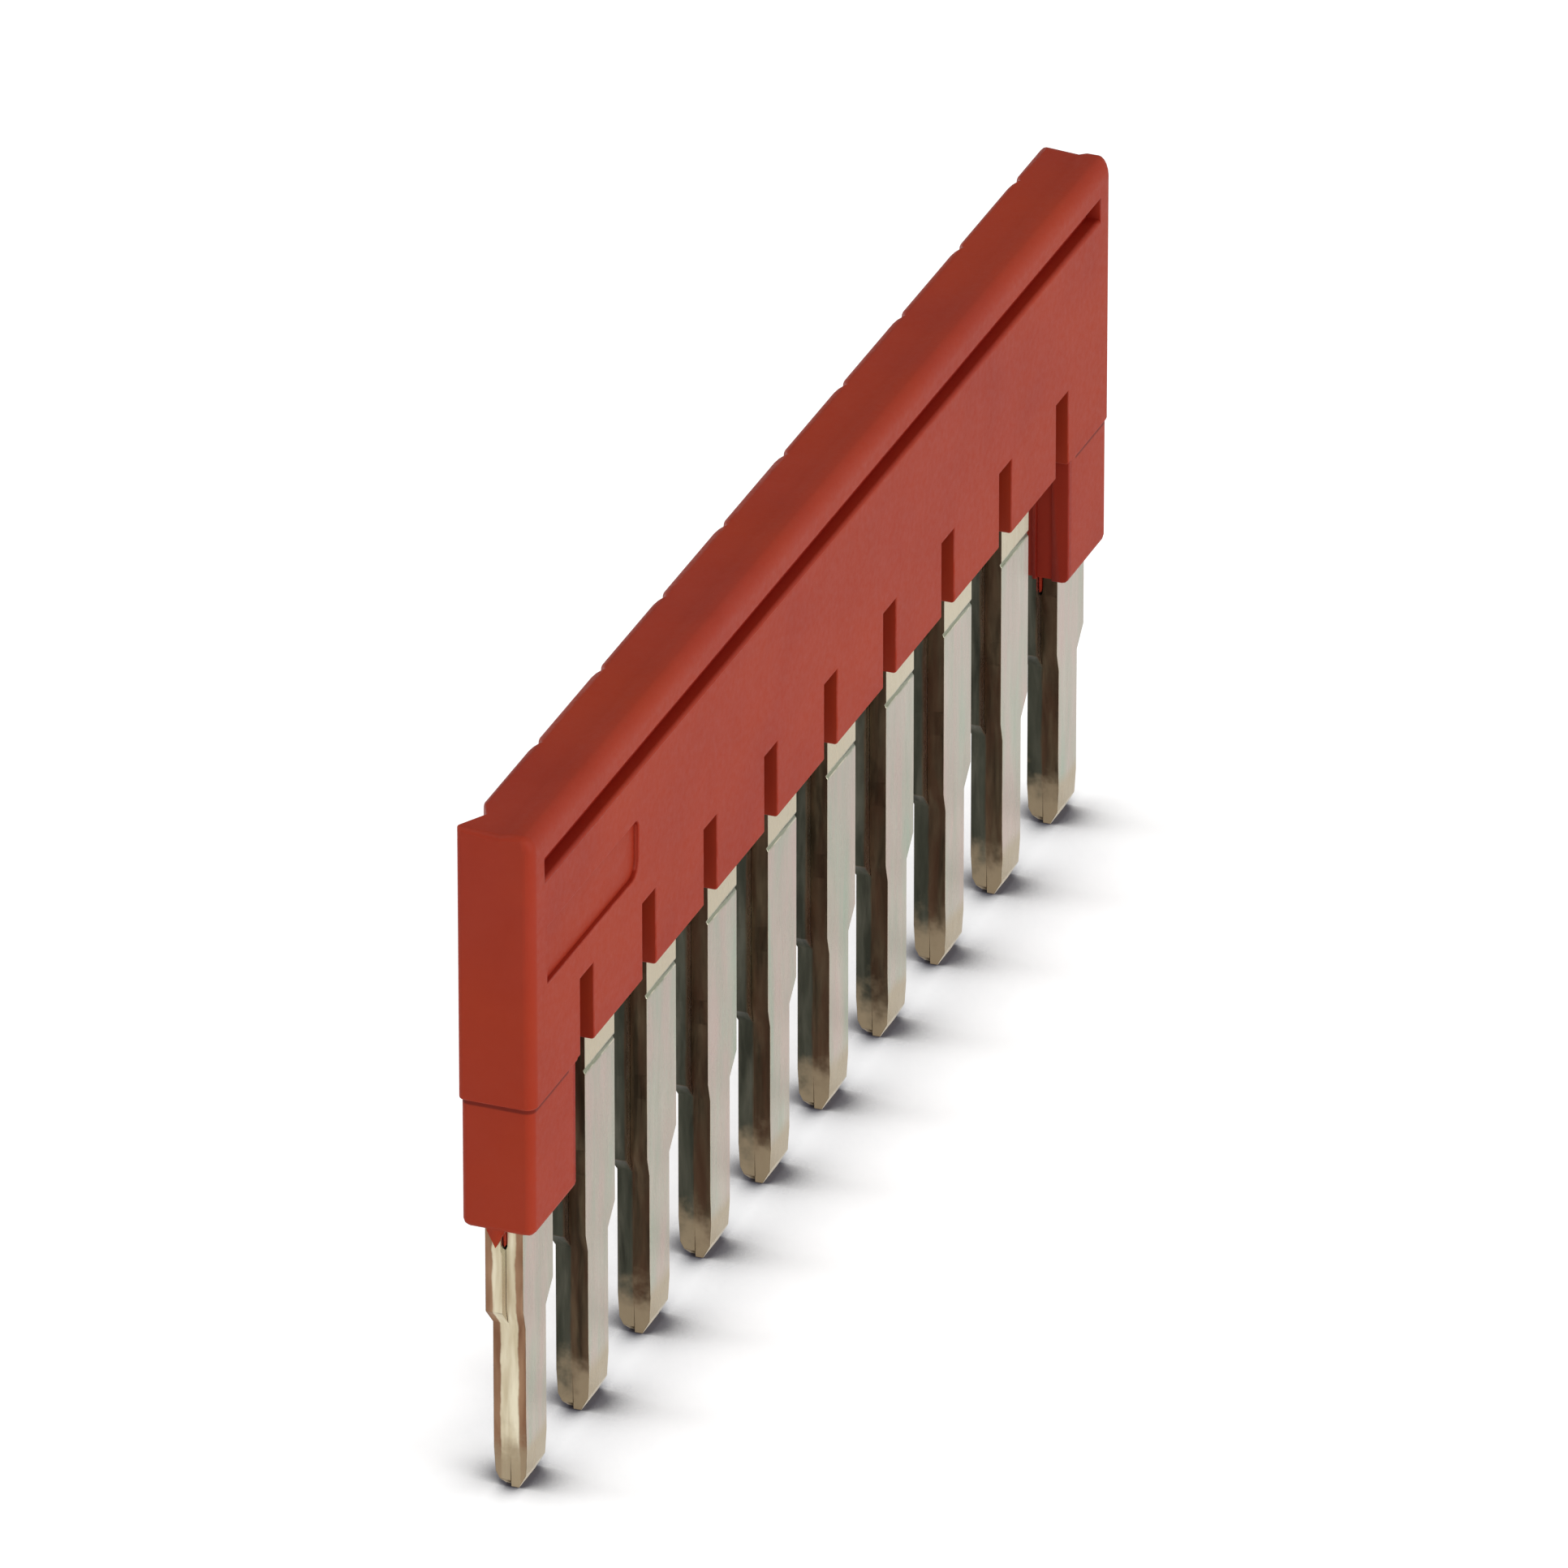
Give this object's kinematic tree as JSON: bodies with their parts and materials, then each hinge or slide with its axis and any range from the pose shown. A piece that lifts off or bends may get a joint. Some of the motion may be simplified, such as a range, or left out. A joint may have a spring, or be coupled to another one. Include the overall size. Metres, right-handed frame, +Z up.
{
  "type": "terminal block jumper bar",
  "caption": "Plug-in jumper bar for rail-mounted terminal blocks: a moulded red housing that holds two stamped contact combs back to back, with a leaf pair for each pole.",
  "frame": {"origin": "middle of the bar's length and thickness, at the level of the contact tips", "axes": "+X along the bar away from the marking field, +Y from the grooved front to the scored back, +Z up from the tips to the housing"},
  "size_m": [0.0602, 0.003, 0.0277],
  "materials": {
    "moulded_red": "moulded, fine satin",
    "tinned_copper": "rolled and tinned faces, sheared copper edges"
  },
  "bodies": {
    "root": {"housing": "moulded_red", "front_contact_comb": "tinned_copper", "rear_contact_comb": "tinned_copper"}
  },
  "joints": []
}
